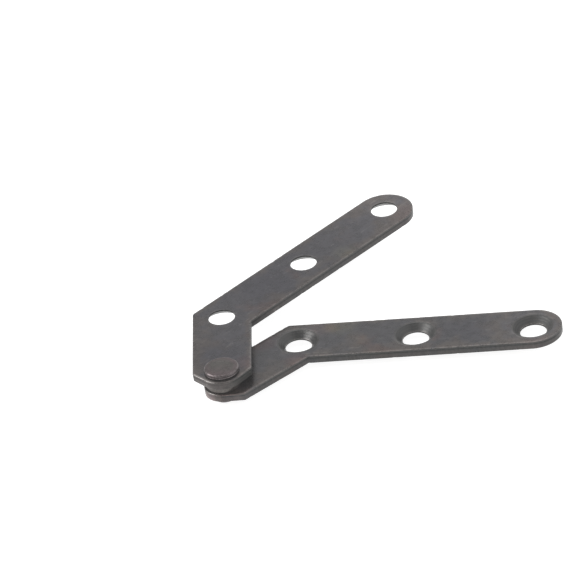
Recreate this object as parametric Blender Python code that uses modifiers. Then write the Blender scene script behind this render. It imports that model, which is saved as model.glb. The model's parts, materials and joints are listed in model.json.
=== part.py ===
"""Offset knife hinge: two cranked flat leaves stacked on one pivot rivet.

Metres, +Z up. The origin is on the underside of the lower leaf, on the centre line of its
arm, midway between screw holes 1 and 2. The arm of the lower leaf runs along +X. The upper
leaf turns about the vertical axis of the pivot rivet and stands part open.
"""

import math

import bpy
from mathutils import Vector

MM = 0.001

# Leaf blank. Both leaves share it, apart from the nose round the pivot.
LEAF_WIDTH = 9.75 * MM
LEAF_THICKNESS = 1.4 * MM
CRANK_LENGTH = 16.1 * MM  # pivot to screw hole 1
CRANK_ANGLE = math.radians(45.0)  # between the crank and the arm
HOLE_PITCH = 19.5 * MM
HOLES_PER_LEAF = 3
UPPER_NOSE_RADIUS = 3.6 * MM
LOWER_NOSE_RADIUS = 3.3 * MM
UPPER_SHOULDER = 0.0 * MM  # where the nose chamfers start, from the pivot towards hole 1
LOWER_SHOULDER = 0.3 * MM
OUTER_BEND_RADIUS = 1.0 * MM
INNER_BEND_RADIUS = 0.5 * MM
SHOULDER_RADIUS = 0.3 * MM
EDGE_BREAK = 0.12 * MM

# Screw holes, for a 3.5 mm (No. 6) countersunk wood screw.
HOLE_RADIUS = 2.2 * MM
COUNTERSINK_RADIUS = 3.5 * MM
COUNTERSINK_DEPTH = 1.1 * MM

# Pivot.
OPEN_ANGLE = math.radians(50.0)  # of the upper leaf, from lying over the lower one
LEAF_GAP = 1.15 * MM
SHANK_RADIUS = 1.75 * MM
HEAD_RADIUS = 2.9 * MM
HEAD_HEIGHT = 0.87 * MM
HEAD_CROWN = 0.05 * MM
HEAD_RIM = 0.16 * MM
TAIL_RADIUS = 2.2 * MM
TAIL_HEIGHT = 1.25 * MM
TAIL_FLAT = 0.62  # share of the tail's radius that is flat
WASHER_RADIUS = 2.95 * MM
WASHER_CLEARANCE = 0.05 * MM  # above and below the washer
RUNNING_CLEARANCE = 0.08 * MM  # round the shank
FACE_CLEARANCE = 0.03 * MM  # between the rivet and what it is set against
CORNER = 0.08 * MM  # broken corner of a turned piece

# Fineness of round shapes.
ARC_STEP = math.radians(6.0)
ROUND_STEPS = 72
TAIL_STEPS = 5
RIM_STEPS = 3
SAME_POINT = 1e-7

CRANK = Vector((math.cos(CRANK_ANGLE), math.sin(CRANK_ANGLE)))
CRANK_LEFT = Vector((-CRANK.y, CRANK.x))
HOLE_1 = CRANK * CRANK_LENGTH
PIVOT = Vector((-HOLE_PITCH / 2, 0.0)) - HOLE_1
UPPER_LEAF_Z = LEAF_THICKNESS + LEAF_GAP


def clear_scene():
    for obj in list(bpy.data.objects):
        bpy.data.objects.remove(obj)
    for collection in list(bpy.data.collections):
        bpy.data.collections.remove(collection)


def new_collection(name):
    collection = bpy.data.collections.new(name)
    bpy.context.scene.collection.children.link(collection)
    return collection


def new_material(name, colour, roughness):
    material = bpy.data.materials.new(name)
    material.use_nodes = True
    shader = material.node_tree.nodes["Principled BSDF"]
    shader.inputs["Base Color"].default_value = (*colour, 1.0)
    shader.inputs["Metallic"].default_value = 1.0
    shader.inputs["Roughness"].default_value = roughness
    return material


def mesh_from(name, points, edges=(), faces=()):
    mesh = bpy.data.meshes.new(name)
    mesh.from_pydata([tuple(point) for point in points], edges, faces)
    return mesh


def new_object(mesh, collection, material=None):
    obj = bpy.data.objects.new(mesh.name, mesh)
    collection.objects.link(obj)
    if material:
        mesh.materials.append(material)
    return obj


def rounded(before, corner, after, radius):
    """Points of the arc that rounds one corner of an outline."""
    to_before = (before - corner).normalized()
    to_after = (after - corner).normalized()
    half = to_before.angle(to_after) / 2
    centre = corner + (to_before + to_after).normalized() * (radius / math.sin(half))
    start = corner + to_before * (radius / math.tan(half)) - centre
    end = corner + to_after * (radius / math.tan(half)) - centre
    sweep = -start.angle_signed(end)  # angle_signed counts clockwise
    steps = max(2, round(abs(sweep) / ARC_STEP))
    arc = []
    for i in range(steps + 1):
        cos = math.cos(sweep * i / steps)
        sin = math.sin(sweep * i / steps)
        arc.append(centre + Vector((start.x * cos - start.y * sin, start.x * sin + start.y * cos)))
    return arc


def leaf_outline(nose_radius, shoulder):
    """Plan of a leaf, anticlockwise, with the pivot at the origin and the arm along +X."""
    half = LEAF_WIDTH / 2
    # The sides of the crank meet those of the arm on the line that halves the bend.
    bend = Vector((-math.tan(CRANK_ANGLE / 2), 1.0)) * half
    # Each chamfer leaves its shoulder and touches the nose circle. The two would meet at the tip.
    touch_angle = math.atan2(half, shoulder) + math.acos(nose_radius / math.hypot(half, shoulder))
    tip = CRANK * (nose_radius / math.cos(touch_angle))
    end_x = HOLE_1.x + HOLE_PITCH * (HOLES_PER_LEAF - 1) + half
    corners = [
        (tip, nose_radius),
        (CRANK * shoulder - CRANK_LEFT * half, SHOULDER_RADIUS),
        (HOLE_1 - bend, INNER_BEND_RADIUS),
        (Vector((end_x, HOLE_1.y - half)), half),
        (Vector((end_x, HOLE_1.y + half)), half),
        (HOLE_1 + bend, OUTER_BEND_RADIUS),
        (CRANK * shoulder + CRANK_LEFT * half, SHOULDER_RADIUS),
    ]
    outline = []
    for i, (corner, radius) in enumerate(corners):
        before = corners[i - 1][0]
        after = corners[(i + 1) % len(corners)][0]
        for point in rounded(before, corner, after, radius):
            if not outline or (point - outline[-1]).length > SAME_POINT:
                outline.append(point)
    return outline


def new_turned(name, profile, collection, material=None):
    """A piece turned about Z from a profile of (radius, height) pairs, outer side downwards."""
    points = [(radius, 0.0, height) for radius, height in profile]
    edges = [(i, i + 1) for i in range(len(points) - 1)]
    obj = new_object(mesh_from(name, points, edges), collection, material)
    screw = obj.modifiers.new("Turn", "SCREW")
    screw.axis = "Z"
    screw.steps = ROUND_STEPS
    screw.render_steps = ROUND_STEPS
    screw.use_merge_vertices = True
    screw.merge_threshold = 1e-6
    obj.location = (PIVOT.x, PIVOT.y, 0.0)
    return obj


def pivot_hole_profile(radius):
    over = LEAF_THICKNESS
    return [
        (0.0, LEAF_THICKNESS + over),
        (radius, LEAF_THICKNESS + over),
        (radius, -over),
        (0.0, -over),
    ]


def screw_hole_profile(from_top):
    """Countersunk hole through a leaf whose underside is at height 0."""
    over = LEAF_THICKNESS
    flare = (COUNTERSINK_RADIUS - HOLE_RADIUS) * over / COUNTERSINK_DEPTH
    profile = [
        (0.0, LEAF_THICKNESS + over),
        (COUNTERSINK_RADIUS + flare, LEAF_THICKNESS + over),
        (HOLE_RADIUS, LEAF_THICKNESS - COUNTERSINK_DEPTH),
        (HOLE_RADIUS, -over),
        (0.0, -over),
    ]
    if from_top:
        return profile
    return [(radius, LEAF_THICKNESS - height) for radius, height in reversed(profile)]


def cut_hole(leaf, name, profile, position):
    """Cuts a turned cutter out of a leaf. The cutter rides on the leaf."""
    cutter = new_turned(name, profile, cutters)
    cutter.parent = leaf
    cutter.location = (position.x, position.y, 0.0)
    cutter.hide_render = True
    cutter.display_type = "WIRE"
    boolean = leaf.modifiers.new("Cut " + name, "BOOLEAN")
    boolean.operation = "DIFFERENCE"
    boolean.solver = "EXACT"
    boolean.object = cutter


def new_leaf(name, outline, countersink_from_top, pivot_hole_radius, material):
    """A leaf with its object origin on the pivot axis, at the height of its underside."""
    points = [(point.x, point.y, 0.0) for point in outline]
    plan = mesh_from(name, points, faces=[tuple(range(len(points)))])
    leaf = new_object(plan, parts, material)
    leaf.location = (PIVOT.x, PIVOT.y, 0.0)

    plate = leaf.modifiers.new("Thickness", "SOLIDIFY")
    plate.thickness = LEAF_THICKNESS
    plate.offset = 1.0

    edge = leaf.modifiers.new("Edge break", "BEVEL")
    edge.width = EDGE_BREAK
    edge.segments = 2
    edge.limit_method = "ANGLE"
    edge.angle_limit = math.radians(60.0)

    cut_hole(leaf, name + "_pivot_hole", pivot_hole_profile(pivot_hole_radius), Vector((0.0, 0.0)))
    for i in range(HOLES_PER_LEAF):
        position = HOLE_1 + Vector((HOLE_PITCH * i, 0.0))
        cut_hole(leaf, f"{name}_screw_hole_{i + 1}", screw_hole_profile(countersink_from_top), position)
    return leaf


def rivet_profile():
    """Crowned flat head, plain shank and peened tail, from the top down."""
    head_base = UPPER_LEAF_Z + LEAF_THICKNESS + FACE_CLEARANCE
    head_top = head_base + HEAD_HEIGHT
    shoulder = head_top - HEAD_CROWN - HEAD_RIM
    profile = [(0.0, head_top), (HEAD_RADIUS / 2, head_top - HEAD_CROWN / 4)]
    for i in range(RIM_STEPS + 1):
        around = math.radians(90.0) * (1 - i / RIM_STEPS)
        radius = HEAD_RADIUS - HEAD_RIM * (1 - math.cos(around))
        profile.append((radius, shoulder + HEAD_RIM * math.sin(around)))
    tail_top = -FACE_CLEARANCE
    tail_side = tail_top - TAIL_HEIGHT / 3
    profile += [
        (HEAD_RADIUS, head_base + CORNER),
        (HEAD_RADIUS - CORNER, head_base),
        (SHANK_RADIUS, head_base),
        (SHANK_RADIUS, tail_top),
        (TAIL_RADIUS - CORNER, tail_top),
        (TAIL_RADIUS, tail_top - CORNER),
    ]
    for i in range(TAIL_STEPS + 1):
        around = math.radians(90.0) * i / TAIL_STEPS
        radius = TAIL_RADIUS * (TAIL_FLAT + (1 - TAIL_FLAT) * math.cos(around))
        profile.append((radius, tail_side - TAIL_HEIGHT * 2 / 3 * math.sin(around)))
    profile.append((0.0, tail_top - TAIL_HEIGHT))
    return profile


def washer_profile():
    top = UPPER_LEAF_Z - WASHER_CLEARANCE
    bottom = LEAF_THICKNESS + WASHER_CLEARANCE
    bore = SHANK_RADIUS + RUNNING_CLEARANCE
    return [
        (bore, top),
        (WASHER_RADIUS - CORNER, top),
        (WASHER_RADIUS, top - CORNER),
        (WASHER_RADIUS, bottom + CORNER),
        (WASHER_RADIUS - CORNER, bottom),
        (bore, bottom),
        (bore, top),
    ]


clear_scene()
parts = new_collection("offset_knife_hinge")
cutters = new_collection("cutters")

lower_leaf = new_leaf(
    "lower_leaf",
    leaf_outline(LOWER_NOSE_RADIUS, LOWER_SHOULDER),
    countersink_from_top=True,
    pivot_hole_radius=SHANK_RADIUS + FACE_CLEARANCE,
    material=new_material("lower_leaf_steel", (0.105, 0.098, 0.100), 0.45),
)
upper_leaf = new_leaf(
    "upper_leaf",
    leaf_outline(UPPER_NOSE_RADIUS, UPPER_SHOULDER),
    countersink_from_top=False,
    pivot_hole_radius=SHANK_RADIUS + RUNNING_CLEARANCE,
    material=new_material("upper_leaf_steel", (0.110, 0.103, 0.108), 0.45),
)
upper_leaf.location.z = UPPER_LEAF_Z
upper_leaf.rotation_euler.z = OPEN_ANGLE

rivet_steel = new_material("rivet_steel", (0.120, 0.104, 0.088), 0.40)
new_turned("pivot_rivet", rivet_profile(), parts, rivet_steel)

washer_steel = new_material("washer_steel", (0.060, 0.056, 0.052), 0.50)
new_turned("friction_washer", washer_profile(), parts, washer_steel)
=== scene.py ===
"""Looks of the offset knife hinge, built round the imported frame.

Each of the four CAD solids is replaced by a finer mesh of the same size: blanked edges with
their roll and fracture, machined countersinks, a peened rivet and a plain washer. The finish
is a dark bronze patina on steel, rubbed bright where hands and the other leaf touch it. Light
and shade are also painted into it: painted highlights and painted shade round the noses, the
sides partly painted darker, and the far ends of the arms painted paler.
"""

import json
import math
import random

import bpy
import numpy as np
from mathutils import Matrix, Vector, noise
from mathutils.geometry import delaunay_2d_cdt


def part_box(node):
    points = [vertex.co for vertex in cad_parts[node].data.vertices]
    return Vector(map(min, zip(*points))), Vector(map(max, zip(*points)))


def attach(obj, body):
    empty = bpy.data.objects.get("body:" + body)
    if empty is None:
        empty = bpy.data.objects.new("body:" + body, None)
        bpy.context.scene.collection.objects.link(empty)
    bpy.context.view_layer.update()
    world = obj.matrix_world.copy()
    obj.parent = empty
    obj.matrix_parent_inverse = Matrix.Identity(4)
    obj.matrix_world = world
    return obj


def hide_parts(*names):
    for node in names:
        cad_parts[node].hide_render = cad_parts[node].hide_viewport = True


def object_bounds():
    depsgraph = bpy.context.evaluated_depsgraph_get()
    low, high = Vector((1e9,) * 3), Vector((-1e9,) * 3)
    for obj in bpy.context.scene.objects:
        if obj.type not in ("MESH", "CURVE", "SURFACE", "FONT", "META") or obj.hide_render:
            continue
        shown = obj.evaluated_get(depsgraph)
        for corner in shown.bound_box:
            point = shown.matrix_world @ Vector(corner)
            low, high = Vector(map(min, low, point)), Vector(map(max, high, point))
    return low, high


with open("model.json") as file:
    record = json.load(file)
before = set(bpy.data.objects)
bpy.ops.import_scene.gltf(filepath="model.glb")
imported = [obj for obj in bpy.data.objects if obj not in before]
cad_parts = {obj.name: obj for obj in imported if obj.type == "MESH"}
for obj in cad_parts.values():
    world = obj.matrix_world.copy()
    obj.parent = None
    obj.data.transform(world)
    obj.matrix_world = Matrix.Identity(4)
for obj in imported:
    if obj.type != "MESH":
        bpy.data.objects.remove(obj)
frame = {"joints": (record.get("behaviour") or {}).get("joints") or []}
cad_low, cad_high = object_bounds()

MM = 0.001

# ------------------------------------------------------------------ sizes taken from the frame
LOWER_LOW, LOWER_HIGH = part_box("lower_leaf")
UPPER_LOW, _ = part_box("upper_leaf")
RIVET_LOW, RIVET_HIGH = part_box("pivot_rivet")
WASHER_LOW, WASHER_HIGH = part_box("friction_washer")
PIVOT_JOINT = frame["joints"][0]

PIVOT = Vector(PIVOT_JOINT["pos_m"][:2])
OPEN_ANGLE = math.radians(-PIVOT_JOINT["range_deg"][0])  # the lower limit is the closed hinge
THICKNESS = LOWER_HIGH.z - LOWER_LOW.z
HALF_WIDTH = LOWER_HIGH.y  # the arm's centre line is at y = 0
HOLES_PER_LEAF = 3
HOLE_PITCH = (LOWER_HIGH.x - HALF_WIDTH) / (HOLES_PER_LEAF - 1.5)
HOLE_1 = Vector((-HOLE_PITCH / 2, 0.0)) - PIVOT  # from the pivot, in a leaf's own plan
CRANK = HOLE_1.normalized()
CRANK_ANGLE = math.atan2(CRANK.y, CRANK.x)
HEAD_RADIUS = (RIVET_HIGH.x - RIVET_LOW.x) / 2
WASHER_RADIUS = (WASHER_HIGH.x - WASHER_LOW.x) / 2

# ------------------------------------------------------------------ leaf plan
UPPER_NOSE_RADIUS = 3.6 * MM
LOWER_NOSE_RADIUS = 3.3 * MM
UPPER_SHOULDER = 0.0 * MM  # where the nose chamfers start, from the pivot towards hole 1
LOWER_SHOULDER = 0.3 * MM
SHOULDER_RADIUS = 0.3 * MM
OUTER_BEND_RADIUS = 1.0 * MM
INNER_BEND_RADIUS = 0.5 * MM
LEAST_RADIUS = 0.03 * MM  # of a corner that has been moved in past its own radius
ARC_STEP = math.radians(3.0)
RUN_STEP = 0.25 * MM
GRID_STEP = 0.42 * MM  # between the points that fill a flat face

# ------------------------------------------------------------------ blanked edge of a leaf
ROLL_WIDTH = 0.75 * MM  # how far the top face starts to roll over, in from the edge
ROLL_DROP = 0.08 * MM
ROLL_POWER = 2.2
ROLL_STEPS = 9
CORNER_RADIUS = 0.15 * MM
CORNER_STEPS = 6
GROOVE_TOP = 0.26 * MM  # below the top face: where the groove under the rolled edge starts
GROOVE_DEPTH = 0.045 * MM
GROOVE_HEIGHT = 0.30 * MM
FRACTURE_INSET = 0.045 * MM
BURR_HEIGHT = 0.12 * MM

# ------------------------------------------------------------------ colours of the patina
# (cold, warm, rubbed bright)
LOWER_COLOURS = ((0.064, 0.063, 0.0675), (0.0785, 0.070, 0.066), (0.30, 0.28, 0.27))
UPPER_COLOURS = ((0.0615, 0.0598, 0.0662), (0.074, 0.0655, 0.063), (0.32, 0.30, 0.29))
RIVET_COLOURS = ((0.069, 0.0635, 0.0585), (0.0825, 0.064, 0.066), (0.33, 0.305, 0.31))
WASHER_COLOURS = ((0.084, 0.080, 0.078), (0.090, 0.080, 0.074), (0.20, 0.19, 0.18))
RUST = (1.12, 0.88, 0.86)  # times the warm colour
DIRT_AND_SHADE = (0.068, 0.0695, 0.069)
OXIDE_METAL = 0.75  # the oxide film is mostly metal: the rest of it scatters light

# ------------------------------------------------------------------ far end of an arm, painted paler as painted light
FAR_END_PAINTED_LIGHT_FROM = HOLE_1.x + HOLE_PITCH * 1.1
FAR_END_PAINTED_LIGHT_TO = HOLE_1.x + HOLE_PITCH * 2.2
FAR_END_PAINTED_LIGHT_GAIN = 1.32

# ------------------------------------------------------------------ marks in the patina, some of them painted light and shade
# Tints: factors of red, green and blue.
REDDISH = (1.16, 0.98, 0.98)
OLIVE = (1.22, 1.22, 1.06)
PALE_RED = (1.22, 1.12, 1.12)
TAN = (1.24, 1.15, 1.05)
PALE = (1.18, 1.18, 1.18)
DULL_BLUE = (0.87, 0.87, 0.91)
# painted light: lifts the shade on the lower leaf under the upper nose, with a reddish tint
REDDISH_PAINTED_LIGHT = (1.9, 1.65, 1.65)
# painted highlight on the left of the lower nose's wall, with a pinkish tint
PINKISH_PAINTED_HIGHLIGHT = (2.5, 2.05, 2.0)
SHADED = (0.5, 0.56, 0.62)
# painted dark reflection of the lower leaf on the upper nose's right wall, greenish
GREENISH_PAINTED_REFLECTION = (0.45, 0.52, 0.48)
# Each mark is (place from the pivot in the leaf's own plan, radius, tint), in millimetres.
LOWER_MARKS = [
    ((1.5, -2.0), 3.6, REDDISH_PAINTED_LIGHT),
    ((5.4, 11.4), 2.8, REDDISH),
    ((11.7, 5.6), 2.4, REDDISH),
    ((14.7, 15.0), 3.0, PALE_RED),
    ((18.4, 15.0), 3.0, OLIVE),
    ((21.1, 11.0), 2.2, TAN),
    ((40.0, 11.5), 5.0, DULL_BLUE),
    ((51.4, 5.5), 3.2, PALE_RED),
]
UPPER_MARKS = [
    ((3.0, 4.5), 5.0, DULL_BLUE),
    ((4.2, -1.7), 2.4, REDDISH),
    ((22.5, 12.0), 6.0, DULL_BLUE),
    ((37.0, 8.0), 2.2, OLIVE),
    ((51.5, 7.5), 3.0, PALE_RED),
    ((51.5, 14.0), 4.0, PALE),
    ((53.2, 10.4), 2.0, PALE),
]
# Marks on the sheared walls only, in the same form. On the noses they are a painted highlight,
# painted shade and a painted dark reflection.
LOWER_WALL_MARKS = [
    ((-2.3, -2.0), 1.6, PINKISH_PAINTED_HIGHLIGHT),
    ((1.1, -3.4), 1.3, SHADED),
    ((51.0, 5.2), 2.4, PALE_RED),
]
UPPER_WALL_MARKS = [((1.8, -3.8), 3.6, GREENISH_PAINTED_REFLECTION)]
# The same places and radii: edges that are rubbed bright, partly real wear and partly a painted
# highlight, and the part of the nose that was dressed smooth.
LOWER_WEAR_AND_HIGHLIGHT = [((-2.2, -2.4), 2.0)]
UPPER_WEAR_AND_HIGHLIGHT = [((-3.6, 1.4), 3.0), ((54.5, 13.0), 3.0)]
LOWER_DRESSED = ((-0.5, -3.0), 5.0)
UPPER_DRESSED = ((-3.2, -1.0), 4.6)
# How much rougher than usual each countersink of the lower leaf is, from the pivot outwards.
LOWER_COUNTERSINKS = (-0.05, 0.08, 0.3)
COUNTERSINK_SPOT = 4.4  # radius in millimetres, a little more than the countersink's

# ------------------------------------------------------------------ holes
HOLE_RADIUS = 2.2 * MM
COUNTERSINK_RADIUS = 3.5 * MM
COUNTERSINK_DEPTH = 1.1 * MM
LEDGE_WIDTH = 0.26 * MM  # flat ring that the countersink's pilot leaves under its rim
LEDGE_DEPTH = 0.10 * MM
RIDGE_HEIGHT = 0.010 * MM  # of the rings that the tool left in the countersink
RIDGES = 3
STEPS_PER_RIDGE = 6
PUNCH_SIDE_ROLL = 0.06 * MM  # of a screw hole's edge, on the side that it was punched from
EXIT_SIDE_ROLL = 0.03 * MM
RUBBED_CORNER = 0.05 * MM  # broken edge between the plain hole and the countersink
RUBBED_CORNER_WEAR = 2.0  # twice the wear of a plain edge
HIDDEN_CORNER = 0.02 * MM
PIVOT_HOLE_BEVEL = 0.06 * MM
HOLE_STEPS = 96
SHANK_RADIUS = 1.75 * MM
UPPER_PIVOT_HOLE = SHANK_RADIUS + 0.08 * MM
LOWER_PIVOT_HOLE = SHANK_RADIUS + 0.03 * MM

# ------------------------------------------------------------------ rivet and washer
TURN_STEPS = 128
HEAD_HEIGHT = 0.87 * MM
HEAD_CROWN = 0.05 * MM  # how far the crown falls from its middle to its rim
HEAD_RIM = 0.32 * MM
HEAD_SEAM = 0.05 * MM
TAIL_RADIUS = 2.2 * MM
TAIL_FLAT = 0.62  # share of the tail's radius that the peening left flat
TAIL_CORNER = 0.08 * MM
FACE_CLEARANCE = 0.03 * MM  # between the tail and the lower leaf
WASHER_BORE = SHANK_RADIUS + 0.08 * MM
WASHER_CORNER = 0.10 * MM

# ------------------------------------------------------------------ unevenness of the surfaces
# (size of the swells, depth, mask or None)
LEAF_SWELLS = (6.0 * MM, 0.016 * MM, None)
WALL_SWELLS = (0.5 * MM, 0.02 * MM, "sheared")
RIVET_SWELLS = (1.6 * MM, 0.018 * MM, None)
WASHER_SWELLS = (1.2 * MM, 0.008 * MM, None)
# Nicks in the edges of a leaf: how many, and between which radii and depths in millimetres.
TOP_NICKS = 26
BOTTOM_NICKS = 18
NICK_RADIUS = (0.18, 0.5)
NICK_DEPTH = (0.02, 0.06)

# ------------------------------------------------------------------ meshes
MASKS = ("wear", "grime", "sheared", "inland")
SHARP_ANGLE = math.radians(50.0)
RING_CLEARANCE = GRID_STEP * 0.55  # of the grid's points from the ring round a flat face
HOLE_CLEARANCE = GRID_STEP * 0.45
JUST_INSIDE = 0.9995  # of a hole's radius: triangles across the hole have their middles closer in
FAR_OFF = 300.0  # millimetres: corners of a square round the leaf, so that no ring is on the hull
WHOLE_HULL = 0  # the triangulation keeps every triangle
LEAST_GAP = 1e-6  # millimetres between two different points

# ------------------------------------------------------------------ texture of the patina
# Swells per millimetre of each noise.
RUST_SCALE = 0.16
CLOUD_SCALE = 0.22
MOTTLE_SCALE = 0.75
SPECKLE_SCALE = 3.2
GRAIN_SCALE = 14.0
STREAK_SCALE = (2.6, 2.6, 1.2)  # longer through the thickness
SCRATCH_SCALE = 0.4
SCRATCHES = ((0.5, 14.0), (-0.9, 10.0))  # (direction in radians, how much finer across it)
SPOT_CORE = 0.8  # of a spot's radius: where it starts to fade
SPOT_EDGE = 1.6
SPOT_UNEVEN = 0.8
RUB_STRENGTH = 0.34  # of the wear outside the burnished spots
LEAST_STREAKED = 0.35  # of the walls that were dressed smooth
BUMP_STRENGTH = 0.55
BUMP_DISTANCE = 0.02 * MM


# ================================================================== plan of a leaf
def leaf_corners(nose_radius, shoulder):
    """(corner, radius) of a leaf's plan, anticlockwise from the tip, with the pivot at (0, 0)."""
    left = Vector((-CRANK.y, CRANK.x)) * HALF_WIDTH
    bend = Vector((-math.tan(CRANK_ANGLE / 2), 1.0)) * HALF_WIDTH
    reach = math.hypot(HALF_WIDTH, shoulder)
    touch_angle = math.atan2(HALF_WIDTH, shoulder) + math.acos(nose_radius / reach)
    tip = CRANK * (nose_radius / math.cos(touch_angle))
    end_x = HOLE_1.x + HOLE_PITCH * (HOLES_PER_LEAF - 1) + HALF_WIDTH
    return [
        (tip, nose_radius),
        (CRANK * shoulder - left, SHOULDER_RADIUS),
        (HOLE_1 - bend, INNER_BEND_RADIUS),
        (Vector((end_x, HOLE_1.y - HALF_WIDTH)), HALF_WIDTH),
        (Vector((end_x, HOLE_1.y + HALF_WIDTH)), HALF_WIDTH),
        (HOLE_1 + bend, OUTER_BEND_RADIUS),
        (CRANK * shoulder + left, SHOULDER_RADIUS),
    ]


def neighbours(corners, i):
    return corners[i - 1][0], corners[i][0], corners[(i + 1) % len(corners)][0]


def moved_in(corners, inset):
    """The same corners after every side has moved in by inset."""
    moved = []
    for i, (corner, radius) in enumerate(corners):
        before, _, after = neighbours(corners, i)
        side_in = (corner - before).normalized()
        side_out = (after - corner).normalized()
        normal_in = Vector((-side_in.y, side_in.x))
        normal_out = Vector((-side_out.y, side_out.x))
        convex = side_in.cross(side_out) > 0
        new_radius = max(radius - inset, LEAST_RADIUS) if convex else radius + inset
        shift = (normal_in + normal_out) * (inset / (1 + normal_in.dot(normal_out)))
        moved.append((corner + shift, new_radius))
    return moved


def corner_arc(before, corner, after, radius):
    """Points of the arc that rounds one corner."""
    to_before = (before - corner).normalized()
    to_after = (after - corner).normalized()
    half = to_before.angle(to_after) / 2
    centre = corner + (to_before + to_after).normalized() * (radius / math.sin(half))
    start = corner + to_before * (radius / math.tan(half)) - centre
    end = corner + to_after * (radius / math.tan(half)) - centre
    sweep = -start.angle_signed(end)  # angle_signed counts clockwise
    steps = round(abs(sweep) / ARC_STEP)
    arc = []
    for i in range(steps + 1):
        arc.append(centre + Matrix.Rotation(sweep * i / steps, 2) @ start)
    return arc


def arcs_of(corners):
    return [corner_arc(*neighbours(corners, i), corners[i][1]) for i in range(len(corners))]


def plan_loop(corners, inset=0.0):
    """Points round a leaf's plan moved in by inset. Their number doesn't depend on the inset."""
    outer_arcs = arcs_of(corners)
    arcs = arcs_of(moved_in(corners, inset))
    loop = []
    for i, arc in enumerate(arcs):
        following = (i + 1) % len(arcs)
        steps = round((outer_arcs[following][0] - outer_arcs[i][-1]).length / RUN_STEP)
        loop += arc if steps else arc[:-1]
        for step in range(1, steps):
            loop.append(arc[-1].lerp(arcs[following][0], step / steps))
    return loop


def circle(centre, radius, steps):
    """Points round a circle, clockwise, as the wall of a hole needs them."""
    turns = [-2 * math.pi * i / steps for i in range(steps)]
    return [Vector((centre.x + radius * math.cos(t), centre.y + radius * math.sin(t))) for t in turns]


def depth_inside(points, loop):
    """Distance of each point from a closed loop, positive inside it."""
    points = np.array(points)
    start = np.array([tuple(p) for p in loop])
    side = np.roll(start, -1, axis=0) - start
    offset = points[:, None] - start[None]
    along = np.clip((offset * side).sum(2) / (side * side).sum(1), 0, 1)
    distance = np.linalg.norm(offset - along[..., None] * side, axis=2).min(1)
    above = offset[..., 1] >= 0
    next_above = np.roll(above, -1, axis=1)
    left_of_side = side[:, 0] * offset[..., 1] - side[:, 1] * offset[..., 0] > 0
    crossed = (above != next_above) & (left_of_side == above)
    inside = crossed.sum(1) % 2 == 1
    return np.where(inside, distance, -distance)


# ================================================================== meshes
class Skin:
    """Points, faces and masks of one piece, gathered ring by ring."""

    def __init__(self):
        self.points = []
        self.faces = []
        self.masks = {name: [] for name in MASKS}

    def add(self, loop, height, **masks):
        """Adds a ring of points at one height and returns their numbers."""
        first = len(self.points)
        self.points += [(p.x, p.y, height) for p in loop]
        for name in MASKS:
            self.masks[name] += [masks.get(name, 0.0)] * len(loop)
        return list(range(first, first + len(loop)))

    def bridge(self, upper, lower):
        """Quads between two rings, facing out if the rings run anticlockwise."""
        for i in range(len(upper)):
            j = (i + 1) % len(upper)
            self.faces.append((upper[i], lower[i], lower[j], upper[j]))

    def wall(self, rings):
        for upper, lower in zip(rings, rings[1:]):
            self.bridge(upper, lower)

    def cap(self, ring, height, upwards, **masks):
        """Closes a turned piece with triangles round its axis."""
        pole = self.add([Vector((0.0, 0.0))], height, **masks)[0]
        for i in range(len(ring)):
            j = (i + 1) % len(ring)
            self.faces.append((pole, ring[i], ring[j]) if upwards else (pole, ring[j], ring[i]))

    def fill(self, outer, holes, height, upwards, outline, **masks):
        """Fills a flat face with even triangles between an outer ring and the rings of its holes."""
        edge_rings = [outer, *[ring for ring, _, _ in holes]]
        numbers = [number for ring in edge_rings for number in ring]
        inner = self.add(grid_points(self, outer, holes), height, **masks)
        edges = []
        first = 0
        for ring in edge_rings:
            edges += [(first + i, first + (i + 1) % len(ring)) for i in range(len(ring))]
            first += len(ring)
        numbers += inner
        flat = [Vector(self.points[number][:2]) / MM for number in numbers]
        frame_points = [Vector((x, y)) for x in (-FAR_OFF, FAR_OFF) for y in (-FAR_OFF, FAR_OFF)]
        made = delaunay_2d_cdt(flat + frame_points, edges, [], WHOLE_HULL, LEAST_GAP, True)
        triangles = [[made[3][i][0] for i in triangle] for triangle in made[2]]
        triangles = [triangle for triangle in triangles if max(triangle) < len(flat)]
        middles = []
        for triangle in triangles:
            middles.append(sum((flat[i] for i in triangle), Vector((0.0, 0.0))) * (MM / 3))
        keep = depth_inside(middles, [self.points[number][:2] for number in outer]) > 0
        for _, centre, radius in holes:
            from_centre = np.linalg.norm(np.array(middles) - np.array(centre), axis=1)
            keep &= from_centre > radius * JUST_INSIDE
        for triangle, kept in zip(triangles, keep):
            if kept:
                a, b, c = (flat[i] for i in triangle)
                if ((b - a).cross(c - a) > 0) != upwards:
                    triangle.reverse()
                self.faces.append(tuple(numbers[i] for i in triangle))
        depths = depth_inside([self.points[number][:2] for number in numbers], outline)
        for number, depth in zip(numbers, depths):
            self.masks["inland"][number] = min(1.0, depth / HALF_WIDTH)

    def mesh(self, name):
        made = bpy.data.meshes.new(name)
        made.from_pydata(self.points, [], self.faces)
        made.shade_smooth()
        made.set_sharp_from_angle(angle=SHARP_ANGLE)
        place = made.attributes.new("place", "FLOAT_VECTOR", "POINT")
        place.data.foreach_set("vector", np.array(self.points, np.float32).ravel() / MM)
        for mask, values in self.masks.items():
            made.attributes.new(mask, "FLOAT", "POINT").data.foreach_set("value", values)
        return made


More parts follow.
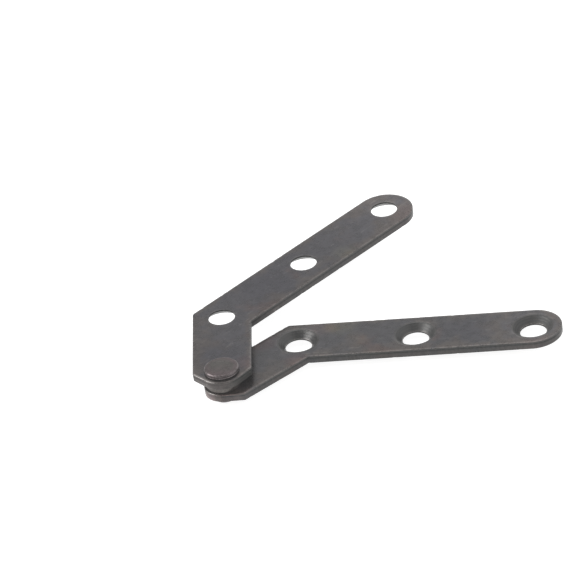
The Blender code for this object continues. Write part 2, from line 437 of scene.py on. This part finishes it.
def grid_points(skin, outer, holes):
    """Points of a triangular grid inside a ring and clear of it and of its holes."""
    loop = [Vector(skin.points[number][:2]) for number in outer]
    low = Vector((min(p.x for p in loop), min(p.y for p in loop)))
    high = Vector((max(p.x for p in loop), max(p.y for p in loop)))
    row_step = GRID_STEP * math.sqrt(3) / 2
    grid = []
    for row in range(math.ceil((high.y - low.y) / row_step)):
        for column in range(math.ceil((high.x - low.x) / GRID_STEP)):
            x = low.x + (column + row % 2 / 2) * GRID_STEP
            grid.append((x, low.y + row * row_step))
    grid = np.array(grid)
    clear = depth_inside(grid, loop) > RING_CLEARANCE
    for _, centre, radius in holes:
        clear &= np.linalg.norm(grid - np.array(centre), axis=1) > radius + HOLE_CLEARANCE
    return [Vector(p) for p in grid[clear]]


def edge_rows():
    """(inset, height, masks) down a leaf's blanked edge, from the top face to the underside."""
    end_slope = math.atan(ROLL_POWER * ROLL_DROP / ROLL_WIDTH)
    corner_inset = CORNER_RADIUS * (1 - math.sin(end_slope))
    corner_centre = THICKNESS - ROLL_DROP - CORNER_RADIUS * math.cos(end_slope)
    rows = []
    for i in range(ROLL_STEPS + 1):
        share = math.sin(math.pi / 2 * i / ROLL_STEPS)
        inset = ROLL_WIDTH + (corner_inset - ROLL_WIDTH) * share
        height = THICKNESS - ROLL_DROP * share**ROLL_POWER
        rows.append((inset, height, {"wear": share**4}))
    for i in range(1, CORNER_STEPS + 1):
        around = (math.pi / 2 - end_slope) * (1 - i / CORNER_STEPS)
        inset = CORNER_RADIUS * (1 - math.cos(around))
        height = corner_centre + CORNER_RADIUS * math.sin(around)
        rows.append((inset, height, {"wear": 1.0 - i / CORNER_STEPS, "grime": i / CORNER_STEPS}))
    # The groove under the rolled edge, and the corner above it towards the groove, are painted dark:
    # painted shade.
    groove_top = THICKNESS - GROOVE_TOP
    groove_bottom = groove_top - GROOVE_HEIGHT
    rows += [
        (0.0, groove_top, {"grime": 1.0, "sheared": 0.5}),
        (GROOVE_DEPTH, groove_top - GROOVE_HEIGHT * 0.3, {"grime": 1.0, "sheared": 1.0}),
        (GROOVE_DEPTH, groove_bottom + GROOVE_HEIGHT * 0.2, {"grime": 1.0, "sheared": 1.0}),
        (GROOVE_DEPTH * 0.4, groove_bottom, {"grime": 0.6, "sheared": 0.7}),
    ]
    fracture_steps = 5
    for i in range(1, fracture_steps + 1):
        share = i / fracture_steps
        inset = GROOVE_DEPTH * 0.4 + (FRACTURE_INSET - GROOVE_DEPTH * 0.4) * share
        height = groove_bottom + (BURR_HEIGHT - groove_bottom) * share
        rows.append((inset, height, {"grime": 0.5, "sheared": 0.6, "wear": 0.25 * share}))
    rows += [
        (FRACTURE_INSET * 0.6, BURR_HEIGHT * 0.5, {"wear": 0.4, "grime": 0.5, "sheared": 0.6}),
        (FRACTURE_INSET, BURR_HEIGHT * 0.15, {"wear": 0.5}),
        (FRACTURE_INSET + BURR_HEIGHT * 0.5, 0.0, {"wear": 0.3}),
    ]
    return rows


def screw_hole_rows(edge_roll, corner, corner_wear):
    """(radius, depth, masks) of a countersunk hole, from its plain face to its countersunk one."""
    land_end = THICKNESS - COUNTERSINK_DEPTH
    rows = []
    roll_steps = 4
    for i in range(roll_steps + 1):
        around = math.pi / 2 * i / roll_steps
        radius = HOLE_RADIUS + edge_roll * (1 - math.sin(around))
        masks = {"wear": 0.5, "grime": i / roll_steps, "sheared": i / roll_steps}
        rows.append((radius, 0.7 * edge_roll * (1 - math.cos(around)), masks))
    rows += [
        (HOLE_RADIUS, land_end - corner * 1.2, {"grime": 1.0, "sheared": 1.0}),
        (HOLE_RADIUS, land_end - corner, {"wear": corner_wear}),
        (HOLE_RADIUS + corner, land_end, {"wear": corner_wear}),
    ]
    cone_start = HOLE_RADIUS + corner
    cone_end = COUNTERSINK_RADIUS - LEDGE_WIDTH
    cone_steps = RIDGES * STEPS_PER_RIDGE
    for i in range(1, cone_steps + 1):
        share = i / cone_steps
        ripple = RIDGE_HEIGHT * (1 - math.cos(2 * math.pi * RIDGES * share)) / 2
        radius = cone_start + (cone_end - cone_start) * share
        depth = land_end + (COUNTERSINK_DEPTH - LEDGE_DEPTH) * share
        crest = 0.3 * ripple / RIDGE_HEIGHT
        rows.append((radius + ripple, depth - ripple, {"grime": 1.0 - crest, "wear": crest}))
    rows += [
        (cone_end + LEDGE_WIDTH * 0.30, THICKNESS - LEDGE_DEPTH * 0.85, {"grime": 0.75, "wear": 0.15}),
        (cone_end + LEDGE_WIDTH * 0.80, THICKNESS - LEDGE_DEPTH * 0.65, {"grime": 0.6, "wear": 0.2}),
        (COUNTERSINK_RADIUS, THICKNESS - LEDGE_DEPTH * 0.35, {"grime": 0.5, "wear": 0.25}),
        (COUNTERSINK_RADIUS + LEDGE_DEPTH * 0.5, THICKNESS, {"wear": 0.2}),
    ]
    return rows


def pivot_hole_rows(radius):
    """(radius, depth, masks) of the rivet's hole, from the top face down."""
    return [
        (radius + PIVOT_HOLE_BEVEL, 0.0, {"grime": 0.5}),
        (radius, PIVOT_HOLE_BEVEL, {"grime": 1.0}),
        (radius, THICKNESS - PIVOT_HOLE_BEVEL, {"grime": 1.0}),
        (radius + PIVOT_HOLE_BEVEL, THICKNESS, {"grime": 0.5}),
    ]


def turned_over(rows):
    """The same hole with its depths counted from the other face."""
    return [(radius, THICKNESS - depth, masks) for radius, depth, masks in rows]


def add_hole(skin, centre, rows):
    """Adds a hole whose rows run from the top face down. Returns its rings at both faces."""
    rings = []
    for radius, height, masks in rows:
        rings.append(skin.add(circle(centre, radius, HOLE_STEPS), height, **masks))
    skin.wall(rings)
    return (rings[0], centre, rows[0][0]), (rings[-1], centre, rows[-1][0])


def leaf_skin(nose_radius, shoulder, countersink_on_top, pivot_hole_radius):
    """A leaf in its own plan: the pivot at (0, 0), the arm along +X, the underside at height 0."""
    skin = Skin()
    corners = leaf_corners(nose_radius, shoulder)
    outline = plan_loop(corners)
    rings = []
    for inset, height, masks in edge_rows():
        rings.append(skin.add(plan_loop(corners, inset), height, **masks))
    skin.wall(rings)

    if countersink_on_top:
        screw_rows = screw_hole_rows(EXIT_SIDE_ROLL, RUBBED_CORNER, RUBBED_CORNER_WEAR)
        screw_rows.reverse()
    else:
        screw_rows = turned_over(screw_hole_rows(PUNCH_SIDE_ROLL, HIDDEN_CORNER, 0.0))
    holes = [add_hole(skin, Vector((0.0, 0.0)), turned_over(pivot_hole_rows(pivot_hole_radius)))]
    for i in range(HOLES_PER_LEAF):
        holes.append(add_hole(skin, HOLE_1 + Vector((HOLE_PITCH * i, 0.0)), screw_rows))
    skin.fill(rings[0], [top for top, _ in holes], THICKNESS, True, outline)
    skin.fill(rings[-1], [bottom for _, bottom in holes], 0.0, False, outline)
    return skin


def roughened(mesh, seed, swells):
    """Moves points inwards along their normals by a few hundredths of a millimetre of noise."""
    shift = Vector((seed * 17.3, seed * -9.1, seed * 4.7))
    count = len(mesh.vertices)
    depth = np.zeros(count)
    places = [Vector(v.co) for v in mesh.vertices]
    for size, most, mask in swells:
        weight = np.ones(count)
        if mask:
            weight = np.zeros(count, np.float32)
            mesh.attributes[mask].data.foreach_get("value", weight)
        swell = np.array([noise.noise(place / size + shift) for place in places])
        depth += weight * most * np.clip(0.5 + 0.7 * swell, 0, 1)
    normals = np.array([tuple(normal.vector) for normal in mesh.vertex_normals])
    moved = np.array([tuple(place) for place in places]) - normals * depth[:, None]
    mesh.vertices.foreach_set("co", moved.astype(np.float32).ravel())
    mesh.update()


def nicked(mesh, seed, count, outline, heights):
    """Presses small round nicks into a leaf's edge, between two heights."""
    chance = random.Random(seed)
    points = np.array([tuple(v.co) for v in mesh.vertices])
    normals = np.array([tuple(normal.vector) for normal in mesh.vertex_normals])
    for _ in range(count):
        place = outline[chance.randrange(len(outline))]
        height = chance.uniform(*heights)
        radius = chance.uniform(*NICK_RADIUS) * MM
        depth = chance.uniform(*NICK_DEPTH) * MM
        distance = np.linalg.norm(points - np.array((place.x, place.y, height)), axis=1)
        press = depth * np.clip(1 - (distance / radius) ** 2, 0, 1) ** 2
        points -= normals * press[:, None]
    mesh.vertices.foreach_set("co", points.astype(np.float32).ravel())
    mesh.update()


def turned_skin(rows, closed):
    """A piece turned about (0, 0) from (radius, height, masks) rows, outer side downwards.

    A closed piece runs from axis to axis, and an open one is a ring.
    """
    skin = Skin()
    rings = []
    for radius, height, masks in rows:
        loop = [Vector(p) for p in reversed(circle(Vector((0.0, 0.0)), radius, TURN_STEPS))]
        rings.append(skin.add(loop, height, **masks))
    skin.wall(rings)
    if closed:
        skin.cap(rings[0], rows[0][1], True)
        skin.cap(rings[-1], rows[-1][1], False)
    else:
        skin.bridge(rings[-1], rings[0])
    return skin


def rivet_rows():
    """Crowned head with a rolled rim and a seam round its side, shank, and peened tail."""
    head_base = RIVET_HIGH.z - HEAD_HEIGHT
    shoulder = RIVET_HIGH.z - HEAD_CROWN - HEAD_RIM
    rows = []
    crown_steps = 12
    flat = HEAD_RADIUS - HEAD_RIM
    for i in range(1, crown_steps + 1):
        share = i / crown_steps
        rows.append((flat * share, RIVET_HIGH.z - HEAD_CROWN * share**3, {"inland": 1 - share}))
    rim_steps = 7
    for i in range(1, rim_steps + 1):
        around = math.pi / 2 * (1 - i / rim_steps)
        wear = math.sin(math.pi * i / rim_steps)
        radius = flat + HEAD_RIM * math.cos(around)
        rows.append((radius, shoulder + HEAD_RIM * math.sin(around), {"wear": wear}))
    side = shoulder - head_base
    rows += [
        (HEAD_RADIUS - HEAD_SEAM * 0.4, head_base + side * 0.88, {"grime": 0.4}),
        (HEAD_RADIUS - HEAD_SEAM, head_base + side * 0.74, {"grime": 1.0, "sheared": 1.0}),
        (HEAD_RADIUS - HEAD_SEAM * 0.7, head_base + side * 0.62, {"wear": 0.5}),
        (HEAD_RADIUS, head_base + side * 0.46, {"wear": 1.0}),
        (HEAD_RADIUS, head_base + side * 0.22, {"wear": 0.8}),
        (HEAD_RADIUS - side * 0.12, head_base, {"grime": 0.8}),
        (SHANK_RADIUS, head_base, {"grime": 1.0}),
    ]
    tail_top = LOWER_LOW.z - FACE_CLEARANCE
    tail_height = tail_top - RIVET_LOW.z
    shank_steps = 6
    for i in range(1, shank_steps + 1):
        height = head_base + (tail_top - head_base) * i / shank_steps
        rows.append((SHANK_RADIUS, height, {"grime": 1.0}))
    rows += [
        (TAIL_RADIUS - TAIL_CORNER, tail_top, {"grime": 0.8}),
        (TAIL_RADIUS, tail_top - TAIL_CORNER, {"wear": 0.3}),
    ]
    tail_steps = 10
    for i in range(tail_steps + 1):
        around = math.pi / 2 * i / tail_steps
        radius = TAIL_RADIUS * (TAIL_FLAT + (1 - TAIL_FLAT) * math.cos(around))
        height = tail_top - tail_height * (1 + 2 * math.sin(around)) / 3
        rows.append((radius, height, {"wear": 0.5 * math.sin(around)}))
    face_steps = 6
    for i in range(1, face_steps):
        rows.append((TAIL_RADIUS * TAIL_FLAT * (1 - i / face_steps), RIVET_LOW.z, {"wear": 0.5}))
    return rows


def washer_rows():
    """Rows round the washer's section, from the bore over the top and down the outside."""
    rows = [(WASHER_BORE, WASHER_HIGH.z, {"grime": 1.0})]
    steps = 5
    flat = WASHER_RADIUS - WASHER_CORNER
    for i in range(1, steps + 1):
        rows.append((WASHER_BORE + (flat - WASHER_BORE) * i / steps, WASHER_HIGH.z, {"grime": 0.6}))
    for i in range(1, steps + 1):
        around = math.pi / 2 * (1 - i / steps)
        radius = flat + WASHER_CORNER * math.cos(around)
        rows.append((radius, WASHER_HIGH.z - WASHER_CORNER * (1 - math.sin(around)), {"wear": 0.5}))
    for i in range(steps):
        around = math.pi / 2 * i / steps
        radius = flat + WASHER_CORNER * math.cos(around)
        rows.append((radius, WASHER_LOW.z + WASHER_CORNER * (1 - math.sin(around)), {"wear": 0.3}))
    for i in range(steps + 1):
        rows.append((flat + (WASHER_BORE - flat) * i / steps, WASHER_LOW.z, {"grime": 0.8}))
    return rows


# ================================================================== materials
class Nodes:
    """Short ways to add nodes to one material."""

    def __init__(self, name):
        self.material = bpy.data.materials.new(name)
        self.material.use_nodes = True
        self.tree = self.material.node_tree
        self.shader = self.tree.nodes["Principled BSDF"]

    def add(self, kind, inputs=(), **settings):
        node = self.tree.nodes.new(kind)
        for key, value in settings.items():
            setattr(node, key, value)
        for key, value in dict(inputs).items():
            if isinstance(value, bpy.types.NodeSocket):
                self.tree.links.new(value, node.inputs[key])
            else:
                node.inputs[key].default_value = value
        return node

    def mask(self, name):
        return self.add("ShaderNodeAttribute", attribute_name=name).outputs["Fac"]

    def place(self, scale=(1.0, 1.0, 1.0), turn=0.0, shift=(0.0, 0.0, 0.0)):
        """The piece's own coordinates in millimetres, stretched, turned and shifted."""
        source = self.add("ShaderNodeAttribute", attribute_name="place").outputs["Vector"]
        inputs = {"Vector": source, "Scale": scale, "Rotation": (0.0, 0.0, turn), "Location": shift}
        return self.add("ShaderNodeMapping", inputs).outputs["Vector"]

    def noise(self, per_mm, vector, detail=3.0, roughness=0.55):
        inputs = {"Vector": vector, "Scale": per_mm, "Detail": detail, "Roughness": roughness}
        return self.add("ShaderNodeTexNoise", inputs).outputs["Fac"]

    def math(self, operation, *values):
        return self.add("ShaderNodeMath", dict(enumerate(values)), operation=operation).outputs[0]

    def product(self, first, *others):
        for other in others:
            first = self.math("MULTIPLY", first, other)
        return first

    def ramp(self, value, low, high, to_low=0.0, to_high=1.0):
        """A smooth step from to_low to to_high as a value goes from low to high."""
        inputs = {"Value": value, "From Min": low, "From Max": high}
        inputs.update({"To Min": to_low, "To Max": to_high})
        return self.add("ShaderNodeMapRange", inputs, interpolation_type="SMOOTHSTEP").outputs["Result"]

    def mix(self, share, first, second, blend="MIX"):
        """Colour between two colours, each a socket or (red, green, blue)."""
        inputs = {0: share}
        for key, colour in ((6, first), (7, second)):
            inputs[key] = colour if isinstance(colour, bpy.types.NodeSocket) else (*colour, 1.0)
        return self.add("ShaderNodeMix", inputs, data_type="RGBA", blend_type=blend).outputs[2]

    def scaled(self, colour, factor):
        """A colour times a number."""
        inputs = {0: colour, "Scale": factor}
        return self.add("ShaderNodeVectorMath", inputs, operation="SCALE").outputs[0]


class Patina(Nodes):
    """Dark patina on steel: cold and warm clouds, speckle, scratches, bright rubbed edges."""

    def __init__(self, name, seed):
        super().__init__(name)
        here = self.place(shift=(seed * 31.0, seed * 17.0, seed * 5.0))
        self.clouds = self.noise(CLOUD_SCALE, here, 2.0)
        self.mottle = self.noise(MOTTLE_SCALE, here, 4.0, 0.6)
        self.speckle = self.noise(SPECKLE_SCALE, here, 3.0, 0.7)
        self.grain = self.noise(GRAIN_SCALE, here, 2.0, 0.6)
        self.streaks = self.noise(1.0, self.place(STREAK_SCALE), 3.0, 0.6)
        self.rust = self.noise(RUST_SCALE, self.place(shift=(seed * 7.0, 40.0, 3.0)), 3.0)
        self.scratches = self.scratch_lines((seed * 3.0, 0.0, 0.0))
        self.inland = self.mask("inland")
        self.wear = self.mask("wear")
        self.grime = self.mask("grime")
        self.walls = self.mask("sheared")
        self.face = self.math("SUBTRACT", 1.0, self.walls)

    def scratch_lines(self, shift):
        """Fine scratches from handling, in two directions."""
        shares = []
        for turn, stretch in SCRATCHES:
            lines = self.noise(SCRATCH_SCALE, self.place((0.5, stretch, 1.0), turn, shift), 1.0)
            lines = self.ramp(lines, 0.68, 0.76, 0.0, 0.3)
            shares.append(self.product(lines, self.ramp(self.mottle, 0.45, 0.6)))
        return self.math("MAXIMUM", *shares)

    def spot(self, place, radius):
        """1 round a point of the leaf's plan and 0 away from it, with an uneven edge."""
        inputs = {0: self.place(scale=(1.0, 1.0, 0.0)), 1: (*place, 0.0)}
        distance = self.add("ShaderNodeVectorMath", inputs, operation="DISTANCE").outputs["Value"]
        distance = self.math("ADD", distance, self.product(self.mottle, radius * SPOT_UNEVEN))
        return self.ramp(distance, radius * SPOT_CORE, radius * SPOT_EDGE, 1.0, 0.0)

    def marked(self, colour, marks, zone):
        """A colour with the tints of the marks, in the zone that a mask gives."""
        for place, radius, tint in marks:
            share = self.product(self.spot(place, radius), zone)
            colour = self.mix(share, colour, tint, "MULTIPLY")
        return colour

    def face_colour(self, cold, warm):
        """Bluer in the middle of a leaf, browner at its edges, painted paler at its far end: painted
        light.
        """
        middle = self.math("ADD", self.clouds, self.product(self.inland, 0.22))
        near_edge = self.ramp(self.inland, 0.12, 0.26, 0.8, 0.0)
        rim = self.product(near_edge, self.ramp(self.mottle, 0.4, 0.6), self.face)
        off_rim = self.math("SUBTRACT", 1.0, rim)
        colour = self.mix(self.product(self.ramp(middle, 0.42, 0.68), off_rim), warm, cold)
        rusty = tuple(channel * factor for channel, factor in zip(warm, RUST))
        colour = self.mix(self.ramp(self.rust, 0.56, 0.72, 0.0, 0.55), colour, rusty)
        along = self.add("ShaderNodeSeparateXYZ", {0: self.place()}).outputs["X"]
        shade = self.product(
            self.ramp(self.mottle, 0.3, 0.7, 0.86, 1.14),
            self.ramp(self.speckle, 0.3, 0.75, 0.88, 1.16),
            self.ramp(self.grain, 0.3, 0.7, 0.95, 1.05),
            # painted light: the far end of the arm is painted paler
            self.ramp(along, FAR_END_PAINTED_LIGHT_FROM / MM, FAR_END_PAINTED_LIGHT_TO / MM, 1.0, FAR_END_PAINTED_LIGHT_GAIN),
        )
        return self.scaled(colour, shade)


def patina(name, colours, seed, marks=(), wall_marks=(), wear_and_highlights=(), dressed=None, countersinks=()):
    n = Patina(name, seed)
    cold, warm, bright = colours
    colour = n.marked(n.face_colour(cold, warm), marks, n.face)
    colour = n.mix(n.scratches, colour, bright)

    # Rubbed edges, broken up by the mottle.
    rubbed = n.product(n.wear, n.ramp(n.math("ADD", n.mottle, n.speckle), 0.8, 1.15, 0.2, 1.0))
    grime = n.grime
    streaked = n.walls
    if dressed:
        rough_part = n.math("SUBTRACT", 1.0, n.spot(*dressed))
        rubbed = n.product(rubbed, rough_part)
        grime = n.product(grime, rough_part)
        streaked = n.product(streaked, n.math("MAXIMUM", rough_part, LEAST_STREAKED))
    rubbed = n.product(rubbed, RUB_STRENGTH)
    # burnished spots: worn edges painted bright, partly real wear and partly a painted highlight
    for place, radius in wear_and_highlights:
        rubbed = n.math("MAXIMUM", rubbed, n.product(n.wear, n.spot(place, radius)))
    colour = n.mix(rubbed, colour, bright)

    # Oxide and old oil in the countersinks, and painted shade in the groove under each rolled edge.
    colour = n.mix(n.product(grime, n.ramp(n.speckle, 0.25, 0.8, 1.0, 0.8)), colour, DIRT_AND_SHADE)

    # Sheared walls are streaked through the thickness and painted darker than the faces: partly
    # the fracture's own finish, partly painted shade on the sides.
    streaks = n.scaled(colour, n.ramp(n.streaks, 0.3, 0.7, 0.32, 0.64))
    colour = n.marked(n.mix(streaked, colour, streaks), wall_marks, n.walls)
    n.tree.links.new(colour, n.shader.inputs["Base Color"])

    rough = n.ramp(n.mottle, 0.3, 0.7, 0.27, 0.37)
    rough = n.math("ADD", rough, n.ramp(n.speckle, 0.3, 0.7, -0.05, 0.05))
    for share, change in ((rubbed, -0.12), (streaked, 0.02), (grime, 0.08)):
        rough = n.math("ADD", rough, n.product(share, change))
    for hole, change in enumerate(countersinks):
        place = (HOLE_1 + Vector((HOLE_PITCH * hole, 0.0))) / MM
        rough = n.math("ADD", rough, n.product(n.spot(place, COUNTERSINK_SPOT), grime, change))
    n.tree.links.new(rough, n.shader.inputs["Roughness"])

    relief = n.math("ADD", n.product(n.speckle, 0.6), n.product(n.grain, 0.25))
    relief = n.math("ADD", relief, n.product(n.streaks, streaked, 1.2))
    inputs = {"Height": relief, "Strength": BUMP_STRENGTH, "Distance": BUMP_DISTANCE}
    bump = n.add("ShaderNodeBump", inputs)
    n.tree.links.new(bump.outputs["Normal"], n.shader.inputs["Normal"])
    n.shader.inputs["Metallic"].default_value = OXIDE_METAL
    return n.material


# ================================================================== pieces
def new_piece(name, skin, material, node, body, place, finish):
    """Makes a piece of a skin, moves it to its place in the frame and lets it stand for a CAD node."""
    mesh = skin.mesh(name)
    finish(mesh)
    mesh.transform(place)
    mesh.materials.append(material)
    piece = bpy.data.objects.new(name, mesh)
    bpy.context.scene.collection.objects.link(piece)
    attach(piece, body)
    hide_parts(node)


def make_leaf(name, body, plan, countersink_on_top, pivot_hole_radius, material, place, seed):
    nose_radius, shoulder = plan
    skin = leaf_skin(nose_radius, shoulder, countersink_on_top, pivot_hole_radius)
    outline = plan_loop(leaf_corners(nose_radius, shoulder))

    def finish(mesh):
        roughened(mesh, seed, [LEAF_SWELLS, WALL_SWELLS])
        nicked(mesh, seed, TOP_NICKS, outline, (THICKNESS - ROLL_DROP, THICKNESS))
        nicked(mesh, seed + 100, BOTTOM_NICKS, outline, (0.0, BURR_HEIGHT))

    new_piece(name + "_plate", skin, material, name, body, place, finish)


def make_leaves():
    to_pivot = Matrix.Translation((PIVOT.x, PIVOT.y, 0.0))
    make_leaf(
        "lower_leaf",
        "fixed_leaf",
        (LOWER_NOSE_RADIUS, LOWER_SHOULDER),
        countersink_on_top=True,
        pivot_hole_radius=LOWER_PIVOT_HOLE,
        material=patina(
            "lower_leaf_patina_and_painted_light",
            LOWER_COLOURS,
            seed=1,
            marks=LOWER_MARKS,
            wall_marks=LOWER_WALL_MARKS,
            wear_and_highlights=LOWER_WEAR_AND_HIGHLIGHT,
            dressed=LOWER_DRESSED,
            countersinks=LOWER_COUNTERSINKS,
        ),
        place=to_pivot @ Matrix.Translation((0.0, 0.0, LOWER_LOW.z)),
        seed=1,
    )
    raised = to_pivot @ Matrix.Translation((0.0, 0.0, UPPER_LOW.z))
    make_leaf(
        "upper_leaf",
        "swinging_leaf",
        (UPPER_NOSE_RADIUS, UPPER_SHOULDER),
        countersink_on_top=False,
        pivot_hole_radius=UPPER_PIVOT_HOLE,
        material=patina(
            "upper_leaf_patina_and_painted_light",
            UPPER_COLOURS,
            seed=2,
            marks=UPPER_MARKS,
            wall_marks=UPPER_WALL_MARKS,
            wear_and_highlights=UPPER_WEAR_AND_HIGHLIGHT,
            dressed=UPPER_DRESSED,
        ),
        place=raised @ Matrix.Rotation(OPEN_ANGLE, 4, "Z"),
        seed=2,
    )


def make_turned(name, node, skin, material, swells, seed):
    """Makes a piece on the rivet's axis, which the lower leaf carries."""

    def finish(mesh):
        roughened(mesh, seed, [swells])

    place = Matrix.Translation((PIVOT.x, PIVOT.y, 0.0))
    new_piece(name, skin, material, node, "fixed_leaf", place, finish)


def make_rivet():
    material = patina("rivet_patina", RIVET_COLOURS, seed=3)
    skin = turned_skin(rivet_rows(), closed=True)
    make_turned("rivet_turned", "pivot_rivet", skin, material, RIVET_SWELLS, seed=3)


def make_washer():
    material = patina("washer_patina", WASHER_COLOURS, seed=4)
    skin = turned_skin(washer_rows(), closed=False)
    make_turned("washer_ring", "friction_washer", skin, material, WASHER_SWELLS, seed=4)


# ================================================================== stage, light and camera
FLOOR_REACH = 3.0  # metres from the middle to a side
FLOOR_GAP = 0.02 * MM  # under the rivet's tail
FLOOR_GREY = 0.4
FLOOR_GLOW = 0.90


def make_floor():
    mesh = bpy.data.meshes.new("floor")
    far = FLOOR_REACH
    corners = [(-far, -far, 0.0), (far, -far, 0.0), (far, far, 0.0), (-far, far, 0.0)]
    mesh.from_pydata(corners, [], [(0, 1, 2, 3)])
    material = bpy.data.materials.new("floor_white")
    material.use_nodes = True
    shader = material.node_tree.nodes["Principled BSDF"]
    shader.inputs["Base Color"].default_value = (FLOOR_GREY, FLOOR_GREY, FLOOR_GREY, 1.0)
    shader.inputs["Roughness"].default_value = 0.9
    shader.inputs["Specular IOR Level"].default_value = 0.0
    shader.inputs["Emission Color"].default_value = (1.0, 1.0, 1.0, 1.0)
    shader.inputs["Emission Strength"].default_value = FLOOR_GLOW
    mesh.materials.append(material)
    floor = bpy.data.objects.new("floor", mesh)
    floor.location.z = cad_low.z - FLOOR_GAP
    bpy.context.scene.collection.objects.link(floor)


# Parts of the studio, as seen from the object: (direction, inner angle, outer angle, brightness).
SKY = 1.0
STUDIO = [
    ((0.14, -0.98, 0.12), 20.0, 50.0, 0.30),  # the dark side of the room, behind the camera
    ((-0.05, -0.70, 0.70), 20.0, 45.0, 0.40),  # the ceiling over the camera
    ((-0.05, 0.32, 0.94), 8.0, 26.0, 1.8),  # the soft lamp overhead
    ((-0.60, 0.80, 0.10), 14.0, 36.0, 0.55),  # the far left corner
    ((-0.73, -0.05, 0.68), 7.0, 22.0, 6.5),  # the soft lamp on the left
]


def make_world():
    world = bpy.data.worlds.new("studio")
    bpy.context.scene.world = world
    world.use_nodes = True
    tree = world.node_tree
    background = tree.nodes["Background"]
    direction = tree.nodes.new("ShaderNodeTexCoord").outputs["Generated"]
    brightness = None
    for towards, inner, outer, level in STUDIO:
        dot = tree.nodes.new("ShaderNodeVectorMath")
        dot.operation = "DOT_PRODUCT"
        tree.links.new(direction, dot.inputs[0])
        dot.inputs[1].default_value = Vector(towards).normalized()
        share = tree.nodes.new("ShaderNodeMapRange")
        share.interpolation_type = "SMOOTHSTEP"
        tree.links.new(dot.outputs["Value"], share.inputs["Value"])
        share.inputs["From Min"].default_value = math.cos(math.radians(outer))
        share.inputs["From Max"].default_value = math.cos(math.radians(inner))
        mix = tree.nodes.new("ShaderNodeMix")
        tree.links.new(share.outputs["Result"], mix.inputs[0])
        if brightness is None:
            mix.inputs[2].default_value = SKY
        else:
            tree.links.new(brightness, mix.inputs[2])
        mix.inputs[3].default_value = level
        brightness = mix.outputs[0]
    tree.links.new(brightness, background.inputs["Strength"])
    background.inputs["Color"].default_value = (1.0, 1.0, 1.0, 1.0)


# The camera stands far off with a long lens, a little to the right, and is slightly rolled.
VIEW_AZIMUTH = math.radians(9.27)
VIEW_ELEVATION = math.radians(32.56)
VIEW_ROLL = math.radians(-8.76)
VIEW_DISTANCE = 1341.6 * MM
VIEW_LENS = 511.4
SENSOR_WIDTH = 36.0
AIM_FROM_PIVOT = Vector((7.05, 31.45, 0.0)) * MM


def make_camera():
    towards_camera = Vector((math.sin(VIEW_AZIMUTH), -math.cos(VIEW_AZIMUTH), 0.0))
    back = towards_camera * math.cos(VIEW_ELEVATION)
    back.z = math.sin(VIEW_ELEVATION)
    level = Vector((math.cos(VIEW_AZIMUTH), math.sin(VIEW_AZIMUTH), 0.0))
    right = Matrix.Rotation(VIEW_ROLL, 3, back) @ level
    up = back.cross(right)
    aim = Vector((PIVOT.x, PIVOT.y, LOWER_LOW.z)) + AIM_FROM_PIVOT
    data = bpy.data.cameras.new("camera")
    data.sensor_width = SENSOR_WIDTH
    data.lens = VIEW_LENS
    data.clip_start = 0.01
    data.clip_end = 20.0
    camera = bpy.data.objects.new("camera", data)
    turned = Matrix((right, up, back)).transposed().to_4x4()
    camera.matrix_world = Matrix.Translation(aim + back * VIEW_DISTANCE) @ turned
    bpy.context.scene.collection.objects.link(camera)
    bpy.context.scene.camera = camera


VEIL = 0.025  # the haze that a bright background throws over the dark parts of a picture


def set_tones():
    view = bpy.context.scene.view_settings
    view.view_transform = "Standard"
    view.use_curve_mapping = True
    view.curve_mapping.black_level = (-VEIL, -VEIL, -VEIL)
    view.curve_mapping.update()


make_leaves()
make_rivet()
make_washer()
make_floor()
make_world()
make_camera()
set_tones()
